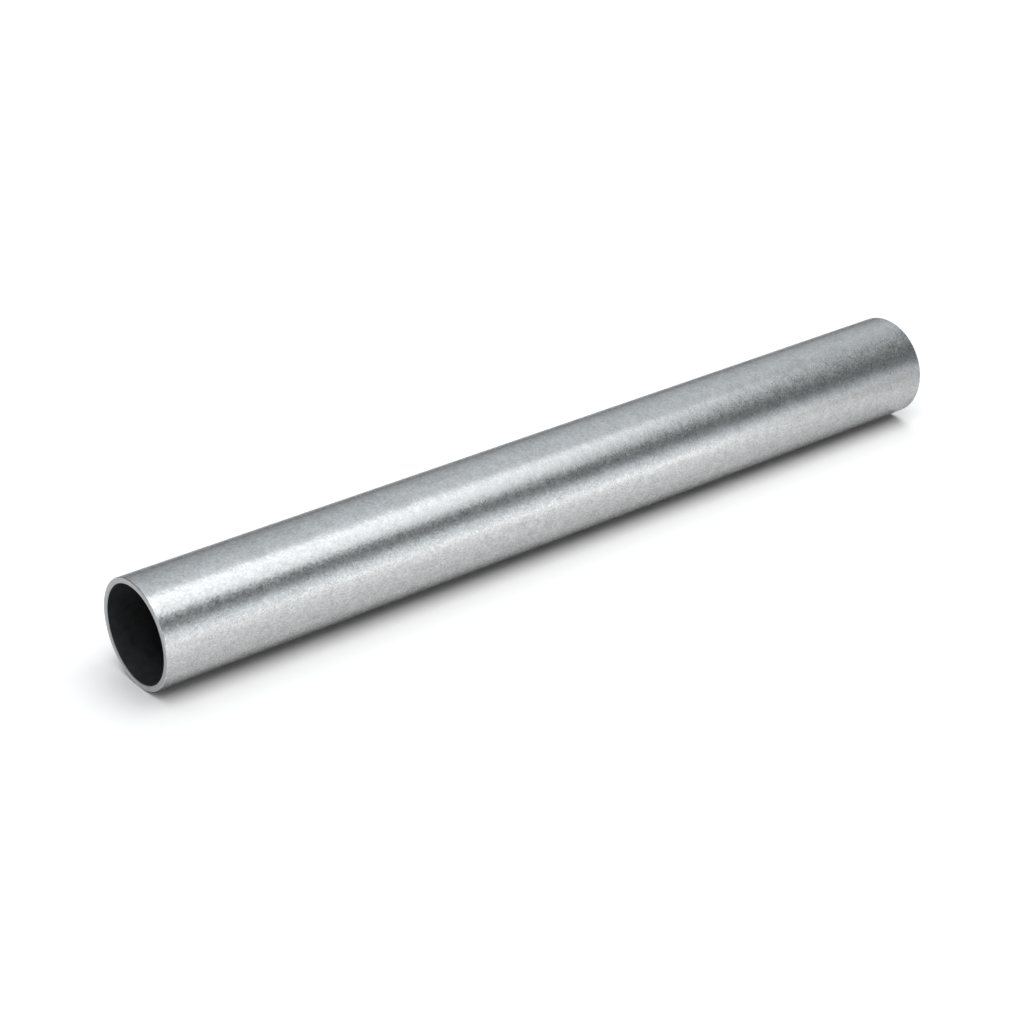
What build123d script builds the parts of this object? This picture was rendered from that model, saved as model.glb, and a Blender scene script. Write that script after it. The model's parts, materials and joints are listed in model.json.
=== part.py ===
from build123d import *
import os

os.makedirs("parts", exist_ok=True)

# Driving dimensions, in millimetres
outer_diameter = 60.3
wall_thickness = 3.2
pipe_length = 540.0

# What the saw and the deburring tool leave at both square-cut ends
outer_edge_radius = 0.5
bore_edge_chamfer = 0.3

# Worked out from the sizes above
outer_radius = outer_diameter / 2
bore_radius = outer_radius - wall_thickness

# The near end's cut face, square to the pipe's axis, which runs along X through the origin
near_end_plane = Plane.YZ.offset(-pipe_length / 2)

# The pipe is one round wall of even thickness, open from end to end
with BuildPart() as pipe:
    with BuildSketch(near_end_plane) as wall_section:
        Circle(outer_radius)
        Circle(bore_radius, mode=Mode.SUBTRACT)
    extrude(amount=pipe_length)

    # Each end keeps a flat ring between a rounded outer edge and a deburred bore edge
    rim_edges = pipe.faces().filter_by(Axis.X).edges().group_by(SortBy.RADIUS)
    fillet(rim_edges[-1], outer_edge_radius)
    chamfer(rim_edges[0], bore_edge_chamfer)

pipe.part.label = "pipe"
export_step(pipe.part, "parts/pipe.step")
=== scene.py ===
import json
import math

import bmesh
import bpy
from bpy.props import FloatProperty, FloatVectorProperty, IntProperty, PointerProperty
from bpy.types import Operator, Panel, PropertyGroup
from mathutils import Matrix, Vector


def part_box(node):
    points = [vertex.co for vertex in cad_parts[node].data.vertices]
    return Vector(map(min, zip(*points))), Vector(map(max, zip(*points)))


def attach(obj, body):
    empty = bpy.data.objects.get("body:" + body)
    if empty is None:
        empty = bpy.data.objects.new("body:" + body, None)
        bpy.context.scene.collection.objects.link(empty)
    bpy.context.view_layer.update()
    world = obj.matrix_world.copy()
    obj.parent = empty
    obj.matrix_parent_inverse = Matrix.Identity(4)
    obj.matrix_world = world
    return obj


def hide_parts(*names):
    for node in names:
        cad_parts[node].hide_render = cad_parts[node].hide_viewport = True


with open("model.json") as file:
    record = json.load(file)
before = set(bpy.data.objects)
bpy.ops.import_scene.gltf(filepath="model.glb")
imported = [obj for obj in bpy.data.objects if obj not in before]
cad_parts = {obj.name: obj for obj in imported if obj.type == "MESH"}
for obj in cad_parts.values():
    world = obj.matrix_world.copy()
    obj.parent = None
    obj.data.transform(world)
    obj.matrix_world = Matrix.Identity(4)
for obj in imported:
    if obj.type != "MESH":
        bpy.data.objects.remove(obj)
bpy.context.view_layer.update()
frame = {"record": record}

bl_info = {
    "name": "Galvanized Pipe",
    "version": (1, 0, 0),
    "blender": (4, 5, 0),
    "location": "3D View > Sidebar > Pipe",
    "description": "Adds a straight zinc-coated pipe with square-cut ends, "
                   "and a pale studio round it",
    "category": "Add Mesh",
}

# Lengths are in metres, and the record's are in millimetres
MM = 0.001

# The pipe's sizes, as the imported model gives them
MOUNTS = {mount["name"]: mount["dims"] for mount in frame["record"]["mounts"]}
OUTER_RADIUS = MOUNTS["outer_wall"]["r_mm"] * MM
BORE_RADIUS = MOUNTS["bore"]["r_mm"] * MM
PIPE_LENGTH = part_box("pipe")[1].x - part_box("pipe")[0].x
EDGE_RADIUS = (PIPE_LENGTH - MOUNTS["outer_wall"]["length_mm"] * MM) / 2
EDGE_CHAMFER = (PIPE_LENGTH - MOUNTS["bore"]["length_mm"] * MM) / 2

# The mesh: faces over a rounded edge, the widest smooth angle, and a length too short to count
EDGE_STEPS = 4
SMOOTH_ANGLE = math.radians(30)
HAIR = 1e-6

# The finishes by their places among the mesh's materials, and the least part of a normal that
# points along the pipe on a face of the ring and of its chamfer
COAT, CUT, BORE = range(3)
RING_LEAN = 0.99
CHAMFER_LEAN = 0.3

# The UV map that the finishes are baked through, in parts of its width
MAP_NAME = "OFBake"
MAP_MARGIN = 0.006
MAP_WALL_WIDTH = 0.706
MAP_WALL_HEIGHT = 0.491

# The zinc: how its crystals are drawn out along the pipe, how much they and the mottles change
# its tone and dullness, how deep the mottles are, and its tint at a glancing angle
CRYSTAL_SCALE = (0.78, 1.0, 1.0)
CRYSTAL_DULLNESS = 0.085
CLOUD_TONE = 0.41
CLOUD_DULLNESS = 0.07
CLOUD_DEPTH = 0.0001
GLANCE_TINT = (0.49, 0.49, 0.49, 1.0)

# The sawn ring: the size, shape, tone and depth of its marks, and how dull it is
MARK_SIZE = 0.0008
MARK_SCALE = (1.0, 0.25, 3.0)
MARK_TONE = 0.3
MARK_DEPTH = 0.00004
CUT_ROUGHNESS = 0.45

# The bore: the size, tone and depth of its patches, and how dull it is
PATCH_SIZE = 0.009
PATCH_TONE = 1.6
PATCH_DEPTH = 0.0001
BORE_ROUGHNESS = 0.7
BORE_GLOSS = 0.1

# The cool white of the studio's softbox and of its room, and the plain white past the floor
LAMP_COLOUR = (0.985, 1.0, 1.012)
ROOM_COLOUR = (0.953, 1.0, 1.038, 1.0)
WHITE = (1.0, 1.0, 1.0, 1.0)

# The camera's sensor, in millimetres
SENSOR_WIDTH = 36.0

# The overhead softbox's spans along the pipe and across it, in parts of its height
SOFTBOX_ALONG = (-0.6, 0.865)
SOFTBOX_ACROSS = (-0.9, 0.023)

# The floor. Far from the pipe, where the lamp falls off, it is lifted more for the camera and
# less in the metal, a painted shade on the far floor where the metal reflects it, and it goes
# from one to the other between two distances
FLOOR_RADIUS = 20.0
FLOOR_SIDES = 96
FLOOR_REACH = (0.3, 3.0)
LIFT_FAR = 2.75
PAINTED_SHADE_FAR = 0.8

# The tuples below are ranges for Nodes.between: where a change starts, where it stops and the
# levels there, which are 0 and 1 or come from a setting where they are left out

# Painted light and shade on the floor where the metal reflects it: a painted shade to the right,
# a painted shade beside the pipe with painted light further out, and painted light close under it
PAINTED_SHADE_RIGHT = (0.22, 0.427, 1.0, 0.478)
PAINTED_LIGHT_BESIDE = (0.06, 0.14, 0.93, 1.104)
PAINTED_LIGHT_UNDER_ACROSS = (0.017, 0.038, 0.52, 0.0)
PAINTED_LIGHT_UNDER_ALONG = (0.265, 0.285, 1.0, 0.0)

# A painted pool of light on the floor in front and on the right, where the metal reflects it,
# by direction, distance and side
PAINTED_POOL_FRONT = (-1.1, -0.5)
PAINTED_POOL_BACK = (-0.016, 0.053, 1.6, 0.0)
PAINTED_POOL_NEAR = (0.22, 0.33)
PAINTED_POOL_LEFT = (-0.2, 0.0)

# The room's walls and cards, and the pale walls off the pipe's ends
WALL_SIDES = (0.312, 0.605)
WALL_LEFT = (-0.3, 0.15, 0.68, 1.0)
WALL_FOOT = (0.067, 0.117, 0.02, 1.0)
CARD_SIDES = (0.4, 0.6)
CARD_BACK = (-0.167, -0.124, 1.0, 0.0)
CARD_TOP = (0.077, 0.445, 1.0, 0.0)
END_WALLS = (0.85, 0.97)
END_WALLS_LEVEL = 0.75

# The room's light on the floor: a glow over the pipe's back and near end, and a fill in front
GLOW_ALONG = -0.518
GLOW_ACROSS = 0.651
GLOW_EDGE = (0.516, 0.616, 0.0, 1.6)
FILL_FRONT = (-1.088, -0.588, 0.6, 0.0)
FILL_TOP = (0.3, 0.7, 1.0, 0.0)


class PipeSizes(PropertyGroup):
    outer_diameter: FloatProperty(
        name="Outer diameter",
        description="Diameter over the zinc coat",
        default=2 * OUTER_RADIUS, min=0.01, unit="LENGTH", precision=5)
    bore_diameter: FloatProperty(
        name="Bore diameter",
        description="Diameter of the open bore",
        default=2 * BORE_RADIUS, min=0.005, unit="LENGTH", precision=5)
    length: FloatProperty(
        name="Length",
        description="Length from one cut end to the other",
        default=PIPE_LENGTH, min=0.02, unit="LENGTH", precision=5)
    edge_radius: FloatProperty(
        name="Outer edge radius",
        description="Rounding that handling and deburring leave on both outer edges",
        default=EDGE_RADIUS, min=0.0, unit="LENGTH", precision=5)
    edge_chamfer: FloatProperty(
        name="Bore edge chamfer",
        description="Chamfer that the reamer leaves on both bore edges",
        default=EDGE_CHAMFER, min=0.0, unit="LENGTH", precision=5)
    steps: IntProperty(
        name="Steps round",
        description="Number of faces round the pipe",
        default=192, min=24, max=384)
    bands: IntProperty(
        name="Bands along",
        description="Number of faces along the pipe, an even number",
        default=108, min=2, max=400)


class PipeFinish(PropertyGroup):
    zinc_colour: FloatVectorProperty(
        name="Zinc colour",
        description="Colour of the satin zinc coat",
        default=(0.475, 0.482, 0.484), size=3, subtype="COLOR", min=0.0, max=1.0)
    cut_colour: FloatVectorProperty(
        name="Cut face colour",
        description="Colour of the sawn ring at each end",
        default=(0.36, 0.364, 0.365), size=3, subtype="COLOR", min=0.0, max=1.0)
    bore_colour: FloatVectorProperty(
        name="Bore colour",
        description="Colour of the dull coat inside the bore",
        default=(0.039, 0.042, 0.043), size=3, subtype="COLOR", min=0.0, max=1.0)
    zinc_roughness: FloatProperty(
        name="Zinc roughness",
        description="How dull the zinc coat is, from mirror to matt",
        default=0.295, min=0.0, max=1.0, subtype="FACTOR")
    grain_size: FloatProperty(
        name="Grain size",
        description="Width of the zinc's fine grain",
        default=0.0008, min=0.0002, unit="LENGTH", precision=5)
    grain_tilt: FloatProperty(
        name="Grain tilt",
        description="How far the crystals of the grain lean to and fro, as a slope",
        default=0.042, min=0.0, max=0.5)
    grain_contrast: FloatProperty(
        name="Grain contrast",
        description="How far the palest crystal is from the darkest, as a share of the colour",
        default=0.28, min=0.0, max=1.0)
    cloud_size: FloatProperty(
        name="Cloud size",
        description="Width of the larger, softer mottles in the zinc",
        default=0.006, min=0.001, unit="LENGTH", precision=5)


class StudioSettings(PropertyGroup):
    turn: FloatProperty(
        name="Studio turn",
        description="How far the camera and its room are turned from the pipe's own square view",
        default=math.radians(-38.92), subtype="ANGLE")
    camera_place: FloatVectorProperty(
        name="Camera place",
        description="Where the camera stands",
        default=(-0.7848, -0.9370, 0.6013), size=3, subtype="TRANSLATION", unit="LENGTH")
    camera_tilt: FloatProperty(
        name="Camera tilt",
        description="The camera's angle up from straight down",
        default=math.radians(63.158), subtype="ANGLE")
    focal_length: FloatProperty(
        name="Focal length",
        description="The camera's focal length on a 36 mm sensor, in millimetres",
        default=85.32, min=10.0)
    floor_colour: FloatVectorProperty(
        name="Floor colour",
        description="Colour of the paper that the pipe lies on",
        default=(0.822, 0.8, 0.785), size=3, subtype="COLOR", min=0.0, max=1.0)
    floor_lift: FloatProperty(
        name="Floor lift",
        description="How much paler the floor is drawn for the camera",
        default=1.41, min=1.0, max=4.0)
    floor_shine: FloatProperty(
        name="Floor in the metal",
        description="How much paler the floor is drawn in the metal",
        default=1.55, min=0.0, max=4.0)
    ceiling_height: FloatProperty(
        name="Overhead softbox height",
        description="Height of the overhead softbox above the pipe's axis",
        default=2.0, min=0.5, unit="LENGTH")
    ceiling_radiance: FloatProperty(
        name="Overhead softbox brightness",
        description="How bright the overhead softbox looks, where 1 is white",
        default=1.735, min=0.0)
    card_radiance: FloatProperty(
        name="Side card brightness",
        description="How bright the low pale cards on either side look, where 1 is white",
        default=1.605, min=0.0)
    back_radiance: FloatProperty(
        name="Room brightness",
        description="How bright the room is before and behind the camera",
        default=0.974, min=0.0)
    side_radiance: FloatProperty(
        name="Side brightness",
        description="How bright the room is above the cards on either side of the camera",
        default=0.162, min=0.0)


class Nodes:
    """Adds and links nodes in one node tree."""

    def __init__(self, tree):
        tree.nodes.clear()
        self.tree = tree

    def add(self, kind, settings=(), **inputs):
        """Adds a node of a kind with its settings and inputs."""
        node = self.tree.nodes.new("ShaderNode" + kind)
        for name, value in dict(settings).items():
            setattr(node, name, value)
        for name, value in inputs.items():
            self.put(node, name, value)
        return node

    def put(self, node, name, value):
        """Links or sets an input, which goes by its name or, as in i0, by its number."""
        key = int(name[1:]) if name[1:].isdigit() else name.replace("_", " ")
        socket = node.inputs[key]
        if isinstance(value, bpy.types.NodeSocket):
            self.tree.links.new(value, socket)
        else:
            socket.default_value = value

    def maths(self, operation, *values):
        node = self.add("Math", {"operation": operation})
        for index, value in enumerate(values):
            self.put(node, f"i{index}", value)
        return node.outputs[0]

    def product(self, first, *others):
        """Multiplies all the values."""
        for other in others:
            first = self.maths("MULTIPLY", first, other)
        return first

    def spread(self, value, width, middle=1.0):
        """Turns a value from 0 to 1 into one that varies by the width about the middle."""
        return self.maths("MULTIPLY_ADD", value, width, middle - width / 2)

    def between(self, value, low, high, from_level=0.0, to_level=1.0):
        """Goes smoothly from one level to the other while the value goes from low to high."""
        node = self.add("MapRange", {"interpolation_type": "SMOOTHSTEP"}, Value=value,
                        From_Min=low, From_Max=high, To_Min=from_level, To_Max=to_level)
        return node.outputs[0]

    def mix(self, share, start, end):
        """Goes from the start to the end while the share goes from 0 to 1."""
        return self.add("Mix", Factor=share, A=start, B=end).outputs[0]

    def vector(self, operation, **inputs):
        return self.add("VectorMath", {"operation": operation}, **inputs).outputs

    def noise(self, place, size, detail, roughness=0.6):
        """Smooth patches of about the given size, from 0 to 1 and mostly near a half."""
        node = self.add("TexNoise", Vector=place, Scale=1 / size, Detail=detail,
                        Roughness=roughness)
        return node.outputs["Fac"]


def new_material(name):
    material = bpy.data.materials.new(name)
    material.use_nodes = True
    return material, Nodes(material.node_tree)


def shade(nodes, colour, share):
    """The colour times a share that changes over the surface."""
    return nodes.vector("SCALE", i0=colour, Scale=share)[0]


def zinc_material(finish):
    """Satin zinc: a fine frosted grain under larger soft mottles."""
    material, nodes = new_material("satin_zinc")
    place = nodes.add("TexCoord").outputs["Object"]
    clouds = nodes.noise(place, finish.cloud_size, 3.0)

    # Each grain of frost is a crystal, drawn out a little along the pipe, with its own tone,
    # dullness and tilt
    drawn = nodes.add("Mapping", Vector=place, Scale=CRYSTAL_SCALE).outputs[0]
    crystal = nodes.add("TexVoronoi", Vector=drawn, Scale=1 / finish.grain_size)
    crystal = crystal.outputs["Color"]
    lean = nodes.vector("SUBTRACT", i0=crystal, i1=(0.5, 0.5, 0.5))[0]
    lean = nodes.vector("SCALE", i0=lean, Scale=finish.grain_tilt)[0]
    normal = nodes.add("NewGeometry").outputs["Normal"]
    facet = nodes.vector("NORMALIZE", i0=nodes.vector("ADD", i0=lean, i1=normal)[0])[0]
    swell = nodes.add("Bump", Strength=1.0, Distance=CLOUD_DEPTH, Height=clouds, Normal=facet)
    split = nodes.add("SeparateColor", Color=crystal).outputs
    tone = nodes.spread(split[0], finish.grain_contrast)
    tone = nodes.maths("MULTIPLY_ADD", nodes.maths("SUBTRACT", clouds, 0.5), CLOUD_TONE, tone)
    dull = nodes.spread(clouds, CLOUD_DULLNESS, finish.zinc_roughness)
    dull = nodes.maths("MULTIPLY_ADD", nodes.maths("SUBTRACT", split[1], 0.5),
                       CRYSTAL_DULLNESS, dull)
    shader = nodes.add("BsdfPrincipled", Base_Color=shade(nodes, finish.zinc_colour, tone),
                       Metallic=1.0, Roughness=dull, Specular_Tint=GLANCE_TINT,
                       Normal=swell.outputs[0])
    nodes.add("OutputMaterial", Surface=shader.outputs[0])
    return material


def cut_material(finish):
    """Sawn and deburred metal: dull, with fine marks across the ring."""
    material, nodes = new_material("sawn_metal")
    place = nodes.add("TexCoord").outputs["Object"]
    stretched = nodes.add("Mapping", Vector=place, Scale=MARK_SCALE).outputs[0]
    marks = nodes.noise(stretched, MARK_SIZE, 2.0)
    tone = nodes.spread(marks, MARK_TONE)
    bump = nodes.add("Bump", Strength=1.0, Distance=MARK_DEPTH, Height=marks)
    shader = nodes.add("BsdfPrincipled", Base_Color=shade(nodes, finish.cut_colour, tone),
                       Metallic=1.0, Roughness=CUT_ROUGHNESS, Normal=bump.outputs[0])
    nodes.add("OutputMaterial", Surface=shader.outputs[0])
    return material


def bore_material(finish):
    """The bore's dull dark coat, a little uneven."""
    material, nodes = new_material("dull_bore")
    place = nodes.add("TexCoord").outputs["Object"]
    patches = nodes.noise(place, PATCH_SIZE, 4.0)
    tone = nodes.spread(patches, PATCH_TONE)
    bump = nodes.add("Bump", Strength=1.0, Distance=PATCH_DEPTH, Height=patches)
    shader = nodes.add("BsdfPrincipled", Base_Color=shade(nodes, finish.bore_colour, tone),
                       Metallic=0.0, Roughness=BORE_ROUGHNESS, Specular_IOR_Level=BORE_GLOSS,
                       Normal=bump.outputs[0])
    nodes.add("OutputMaterial", Surface=shader.outputs[0])
    return material


def edit_mode(on):
    bpy.ops.object.mode_set(mode="EDIT" if on else "OBJECT")


def pick(kind, wanted):
    """Selects the vertices, edges or faces of the mesh in edit mode for which wanted is true."""
    mesh = bpy.context.object.data
    bpy.ops.mesh.select_mode(type={"verts": "VERT", "edges": "EDGE", "faces": "FACE"}[kind])
    bpy.ops.mesh.select_all(action="DESELECT")
    shape = bmesh.from_edit_mesh(mesh)
    for part in getattr(shape, kind):
        if wanted(part):
            part.select_set(True)
    shape.select_flush_mode()
    bmesh.update_edit_mesh(mesh)


def finish_mesh(name):
    piece = bpy.context.object
    piece.name = name
    piece.data.name = name
    return piece


def add_wall_outline(sizes):
    """The outline of the wall where a cut along the axis shows it, above the axis, in edit mode."""
    outer = sizes.outer_diameter / 2
    bore = sizes.bore_diameter / 2
    middle = (outer + bore) / 2
    bpy.ops.object.select_all(action="DESELECT")
    bpy.ops.mesh.primitive_plane_add(size=1.0, rotation=(math.pi / 2, 0, 0))
    bpy.ops.object.transform_apply(location=True, rotation=True, scale=True)
    edit_mode(True)
    bpy.ops.mesh.select_all(action="SELECT")
    bpy.ops.transform.resize(value=(sizes.length, 1.0, outer - bore))
    bpy.ops.transform.translate(value=(0.0, 0.0, middle))

    # The two outer corners are rounded and the two bore corners are chamfered
    pick("verts", lambda corner: corner.co.z > middle)
    bpy.ops.mesh.bevel(offset_type="OFFSET", offset=sizes.edge_radius, segments=EDGE_STEPS,
                       profile=0.5, affect="VERTICES", clamp_overlap=False)
    pick("verts", lambda corner: corner.co.z < bore + HAIR)
    bpy.ops.mesh.bevel(offset_type="OFFSET", offset=sizes.edge_chamfer, segments=1,
                       affect="VERTICES", clamp_overlap=False)

    # Only the outline is kept, and its two long sides are divided into even bands
    bpy.ops.mesh.select_all(action="SELECT")
    bpy.ops.mesh.delete(type="ONLY_FACE")
    pick("edges", lambda edge: edge.calc_length() > sizes.length / 2)
    bpy.ops.mesh.subdivide(number_cuts=sizes.bands - 1)


def spin_outline(sizes):
    bpy.ops.mesh.select_all(action="SELECT")
    bpy.ops.mesh.spin(steps=sizes.steps, angle=2 * math.pi, center=(0, 0, 0), axis=(1, 0, 0))
    bpy.ops.mesh.select_all(action="SELECT")
    bpy.ops.mesh.remove_doubles(threshold=HAIR)
    bpy.ops.mesh.normals_make_consistent(inside=False)
    edit_mode(False)


def face_kind(face):
    """COAT for the zinc outside, CUT for the ring and its chamfer, and BORE for the bore."""
    across = math.hypot(face.center.y, face.center.z)
    outward = (face.center.y * face.normal.y + face.center.z * face.normal.z) / across
    if abs(face.normal.x) > RING_LEAN:
        return CUT
    if outward > 0:
        return COAT
    return CUT if abs(face.normal.x) > CHAMFER_LEAN else BORE


def lay_out_map(piece, sizes):
    """Unrolls the coat in two halves, one above the other, and the bore beside them."""
    mesh = piece.data
    while mesh.uv_layers:
        mesh.uv_layers.remove(mesh.uv_layers[0])
    layer = mesh.uv_layers.new(name=MAP_NAME)
    mesh.uv_layers.active = layer
    outer = sizes.outer_diameter / 2
    bore = sizes.bore_diameter / 2
    half = sizes.length / 2
    run = half - sizes.edge_radius
    arc = sizes.edge_radius * math.pi / 2
    ring = outer - bore - sizes.edge_radius - sizes.edge_chamfer
    slope = sizes.edge_chamfer * math.sqrt(2)
    whole = run + arc + ring + slope

    def along(x, radius):
        """How far a place on the outside is from the middle, over the edge and down the ring."""
        x = abs(x)
        if x <= run:
            return x
        if x < half - HAIR:
            if radius < bore + 2 * sizes.edge_chamfer:
                return run + arc + ring + (half - x) * math.sqrt(2)
            return run + sizes.edge_radius * math.acos(
                max(min((radius - outer) / sizes.edge_radius + 1, 1), 0))
        return run + arc + (outer - sizes.edge_radius - radius)

    for face in mesh.polygons:
        kind = face_kind(face)
        middle = math.atan2(face.center.y, face.center.z) % (2 * math.pi)
        upper = face.center.x > 0
        for loop in face.loop_indices:
            point = mesh.vertices[mesh.loops[loop].vertex_index].co
            radius = math.hypot(point.y, point.z)
            turn = math.atan2(point.y, point.z)
            turn = middle + (turn - middle + math.pi) % (2 * math.pi) - math.pi
            turn /= 2 * math.pi
            if kind == BORE:
                left = 2 * MAP_MARGIN + MAP_WALL_WIDTH
                u = left + turn * (1 - MAP_MARGIN - left)
                v = MAP_MARGIN + (point.x / sizes.length + 0.5) * (1 - 2 * MAP_MARGIN)
            else:
                u = MAP_MARGIN + along(point.x, radius) / whole * MAP_WALL_WIDTH
                v = MAP_MARGIN + turn * MAP_WALL_HEIGHT
                v += upper * (MAP_WALL_HEIGHT + MAP_MARGIN)
            layer.data[loop].uv = (u, v)


class PIPE_OT_add_pipe(Operator):
    """Adds the pipe: its wall's outline is spun about the axis and given its three finishes"""
    bl_idname = "galvanized_pipe.add_pipe"
    bl_label = "Add the pipe"
    bl_options = {"REGISTER", "UNDO"}

    def execute(self, context):
        sizes = context.scene.pipe_sizes
        finish = context.scene.pipe_finish
        add_wall_outline(sizes)
        spin_outline(sizes)
        piece = finish_mesh("galvanized_pipe")
        for material in (zinc_material(finish), cut_material(finish), bore_material(finish)):
            piece.data.materials.append(material)
        for face in piece.data.polygons:
            face.material_index = face_kind(face)
        lay_out_map(piece, sizes)

        # The flat ring and the straight walls keep their own normals beside the rounded edge
        bpy.ops.object.shade_smooth_by_angle(angle=SMOOTH_ANGLE)
        modifier = piece.modifiers.new("even_shading", "WEIGHTED_NORMAL")
        modifier.keep_sharp = True
        bpy.ops.object.modifier_apply(modifier=modifier.name)

        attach(piece, "root")
        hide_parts("pipe")
        return {"FINISHED"}


def ray_shares(nodes):
    """1 for rays that show the scene to the camera, and 1 for those that show it in the metal."""
    path = nodes.add("LightPath").outputs
    seen = nodes.maths("MAXIMUM", path["Is Camera Ray"], path["Is Transmission Ray"])
    lit = nodes.maths("GREATER_THAN", path["Diffuse Depth"], 0.5)
    return seen, nodes.maths("MAXIMUM", nodes.maths("SUBTRACT", path["Is Glossy Ray"], lit), 0.0)


def studio_place(nodes, vector, studio):
    """A place or direction as the camera's right, the camera's forward and up."""
    turned = nodes.add("Mapping", {"vector_type": "TEXTURE"}, Vector=vector,
                       Rotation=(0.0, 0.0, studio.turn))
    return nodes.add("SeparateXYZ", Vector=turned.outputs[0]).outputs


def painted_floor_light(nodes, studio, place, away):
    """How much paler the floor is drawn in the metal, with painted light and shade over the floor.
    """
    split = studio_place(nodes, place, studio)
    shine = nodes.between(away, *FLOOR_REACH, studio.floor_shine, PAINTED_SHADE_FAR * studio.floor_shine)

    # A painted shade dims it to the right, but for a painted pool of light in front
    ahead = nodes.maths("DIVIDE", split["Y"], away)
    painted_pool = nodes.product(nodes.between(ahead, *PAINTED_POOL_FRONT), nodes.between(ahead, *PAINTED_POOL_BACK),
                         nodes.between(away, *PAINTED_POOL_NEAR), nodes.between(split["X"], *PAINTED_POOL_LEFT))
    shine = nodes.product(shine, nodes.between(split["X"], *PAINTED_SHADE_RIGHT),
                          nodes.maths("ADD", painted_pool, 1.0))

    # Painted light makes it paler right under the pipe, from end to end, a painted shade dims it
    # beside the pipe, and further out painted light makes it paler again
    straight = nodes.add("SeparateXYZ", Vector=place).outputs
    along = nodes.maths("ABSOLUTE", straight["X"])
    beside = nodes.maths("ABSOLUTE", straight["Y"])
    painted_light_under = nodes.product(nodes.between(beside, *PAINTED_LIGHT_UNDER_ACROSS), nodes.between(along, *PAINTED_LIGHT_UNDER_ALONG))
    return nodes.product(shine, nodes.maths("ADD", painted_light_under, 1.0),
                         nodes.between(beside, *PAINTED_LIGHT_BESIDE))


def floor_material(studio):
    """Pale paper, drawn paler for the camera and in the metal, with its shadow kept, and with
    painted light and shade over it where the metal reflects it.
    """
    material, nodes = new_material("pale_paper")
    place = nodes.add("TexCoord").outputs["Object"]
    away = nodes.vector("LENGTH", i0=place)["Value"]
    lift = nodes.between(away, *FLOOR_REACH, studio.floor_lift - 1,
                         LIFT_FAR * studio.floor_lift - 1)
    # The floor as the metal reflects it carries painted light and shade that change over the floor
    shine = painted_floor_light(nodes, studio, place, away)
    seen, mirrored = ray_shares(nodes)
    share = nodes.maths("MULTIPLY_ADD", seen, lift, 1.0)
    share = nodes.maths("MULTIPLY_ADD", mirrored, nodes.maths("SUBTRACT", shine, 1.0), share)
    paper = nodes.add("BsdfDiffuse", Color=shade(nodes, studio.floor_colour, share))
    nodes.add("OutputMaterial", Surface=paper.outputs[0])
    return material


def add_floor(studio, level):
    bpy.ops.object.select_all(action="DESELECT")
    bpy.ops.mesh.primitive_circle_add(vertices=FLOOR_SIDES, radius=FLOOR_RADIUS, fill_type="NGON")
    edit_mode(True)
    bpy.ops.mesh.select_all(action="SELECT")
    bpy.ops.transform.translate(value=(0.0, 0.0, level))
    edit_mode(False)
    floor = finish_mesh("floor")
    floor.data.materials.append(floor_material(studio))


def add_softbox(studio):
    """A softbox over the pipe and in line with it that shines straight down."""
    height = studio.ceiling_height
    wide = (SOFTBOX_ALONG[1] - SOFTBOX_ALONG[0]) * height
    deep = (SOFTBOX_ACROSS[1] - SOFTBOX_ACROSS[0]) * height
    place = (sum(SOFTBOX_ALONG) / 2 * height, sum(SOFTBOX_ACROSS) / 2 * height, height)
    bpy.ops.object.light_add(type="AREA", location=place)
    lamp = bpy.context.object
    lamp.name = "overhead_softbox"
    lamp.data.shape = "RECTANGLE"
    lamp.data.size = wide
    lamp.data.size_y = deep
    lamp.data.energy = studio.ceiling_radiance * math.pi * wide * deep
    lamp.data.color = LAMP_COLOUR
    lamp.visible_camera = False


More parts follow.
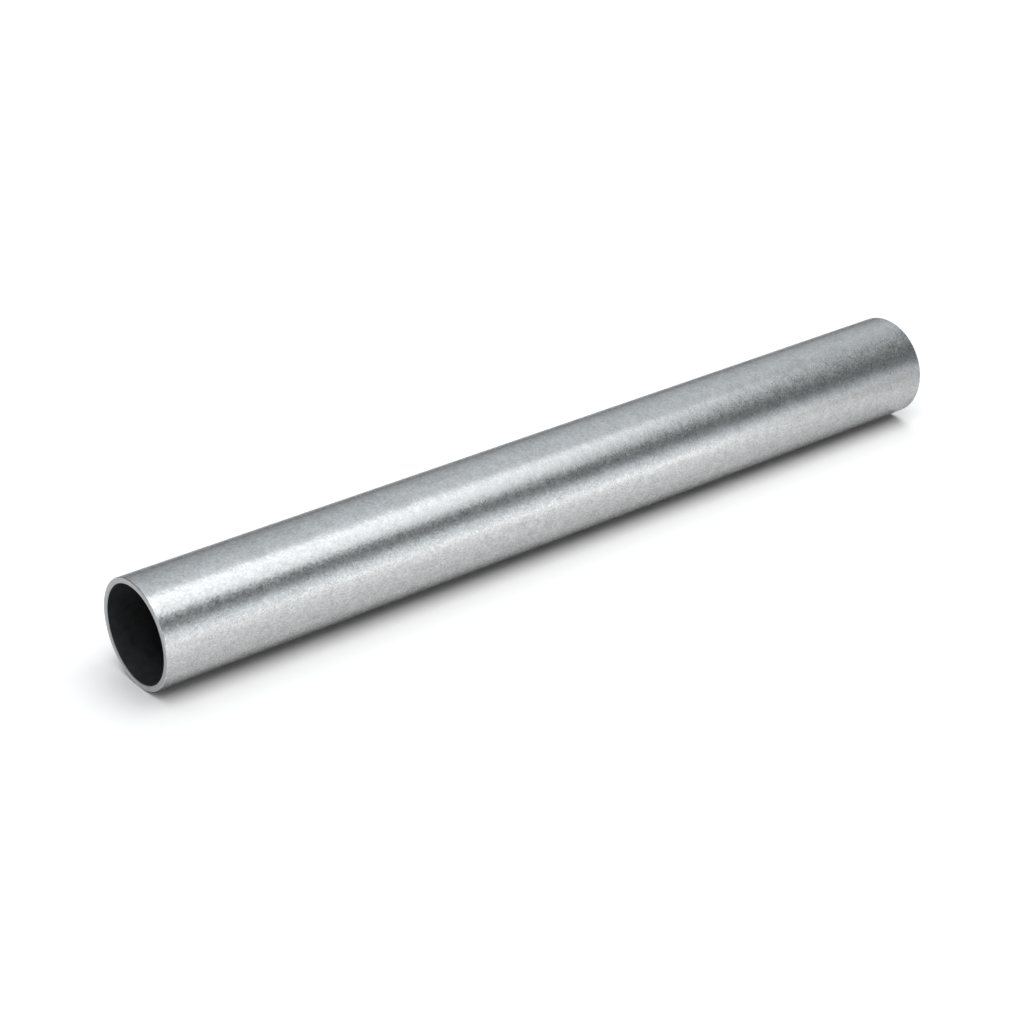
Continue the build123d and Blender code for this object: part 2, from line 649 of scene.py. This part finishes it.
def light_room(context, studio):
    """A grey room, dim at the camera's sides. In the metal each side has a low pale card."""
    world = bpy.data.worlds.new("studio_room")
    world.use_nodes = True
    context.scene.world = world
    nodes = Nodes(world.node_tree)
    facing = nodes.add("TexCoord").outputs["Generated"]
    straight = nodes.add("SeparateXYZ", Vector=facing).outputs
    split = studio_place(nodes, facing, studio)
    rise = split["Z"]
    side = nodes.maths("ABSOLUTE", split["X"])
    walls = nodes.between(side, *WALL_SIDES, studio.back_radiance, studio.side_radiance)
    walls = nodes.product(walls, nodes.between(split["X"], *WALL_LEFT))

    # The cards stand on the camera's side of the pipe, to its right and its left
    card = nodes.product(nodes.between(split["Y"], *CARD_BACK), nodes.between(side, *CARD_SIDES),
                         nodes.between(rise, *CARD_TOP))
    pictured = nodes.product(walls, nodes.between(rise, *WALL_FOOT))
    pictured = nodes.mix(card, pictured, studio.card_radiance)

    # Straight off either end of the pipe the room is pale down to the floor
    along = nodes.maths("ABSOLUTE", straight["X"])
    pictured = nodes.mix(nodes.between(along, *END_WALLS), pictured, END_WALLS_LEVEL)

    # Only the parts of the room over the pipe's back and its near end light the floor,
    # with a weak low fill in front
    beyond = nodes.maths("MULTIPLY_ADD", straight["X"], GLOW_ALONG, rise)
    beyond = nodes.maths("MULTIPLY_ADD", straight["Y"], GLOW_ACROSS, beyond)
    glow = nodes.product(walls, nodes.between(beyond, *GLOW_EDGE))
    fill = nodes.product(nodes.between(straight["Y"], *FILL_FRONT), nodes.between(rise, *FILL_TOP))
    lighting = nodes.maths("ADD", glow, fill)
    seen, mirrored = ray_shares(nodes)
    room = nodes.add("Background", Color=ROOM_COLOUR,
                     Strength=nodes.mix(mirrored, lighting, pictured))

    # The camera sees plain white where it looks past the floor
    white = nodes.add("Background", Color=WHITE, Strength=1.0)
    shader = nodes.add("MixShader", i0=seen, i1=room.outputs[0], i2=white.outputs[0])
    nodes.add("OutputWorld", Surface=shader.outputs[0])


def add_camera(context, studio):
    bpy.ops.object.camera_add(location=studio.camera_place,
                              rotation=(studio.camera_tilt, 0.0, studio.turn))
    camera = bpy.context.object
    camera.name = "camera"
    camera.data.lens = studio.focal_length
    camera.data.sensor_width = SENSOR_WIDTH
    context.scene.camera = camera


class PIPE_OT_add_stage(Operator):
    """Adds the pale floor, the soft studio light and the camera"""
    bl_idname = "galvanized_pipe.add_stage"
    bl_label = "Add the stage"
    bl_options = {"REGISTER", "UNDO"}

    def execute(self, context):
        studio = context.scene.pipe_studio
        level = -context.scene.pipe_sizes.outer_diameter / 2
        add_camera(context, studio)
        add_floor(studio, level)
        add_softbox(studio)
        light_room(context, studio)
        context.scene.view_settings.view_transform = "Standard"
        return {"FINISHED"}


class PIPE_PT_sidebar(Panel):
    """Lists the pipe's sizes, finishes and stage"""
    bl_idname = "PIPE_PT_sidebar"
    bl_label = "Galvanized pipe"
    bl_space_type = "VIEW_3D"
    bl_region_type = "UI"
    bl_category = "Pipe"

    def draw(self, context):
        layout = self.layout
        for group, operator in (("pipe_sizes", None), ("pipe_finish", "galvanized_pipe.add_pipe"),
                                ("pipe_studio", "galvanized_pipe.add_stage")):
            settings = getattr(context.scene, group)
            column = layout.column(align=True)
            for name in settings.__annotations__:
                column.prop(settings, name)
            if operator:
                layout.operator(operator)


GROUPS = {"pipe_sizes": PipeSizes, "pipe_finish": PipeFinish, "pipe_studio": StudioSettings}
CLASSES = (*GROUPS.values(), PIPE_OT_add_pipe, PIPE_OT_add_stage, PIPE_PT_sidebar)


def register():
    for cls in CLASSES:
        bpy.utils.register_class(cls)
    for name, group in GROUPS.items():
        setattr(bpy.types.Scene, name, PointerProperty(type=group))


def unregister():
    for name in GROUPS:
        delattr(bpy.types.Scene, name)
    for cls in reversed(CLASSES):
        bpy.utils.unregister_class(cls)


def main():
    register()
    bpy.ops.galvanized_pipe.add_pipe()
    bpy.ops.galvanized_pipe.add_stage()


if __name__ == "__main__":
    main()
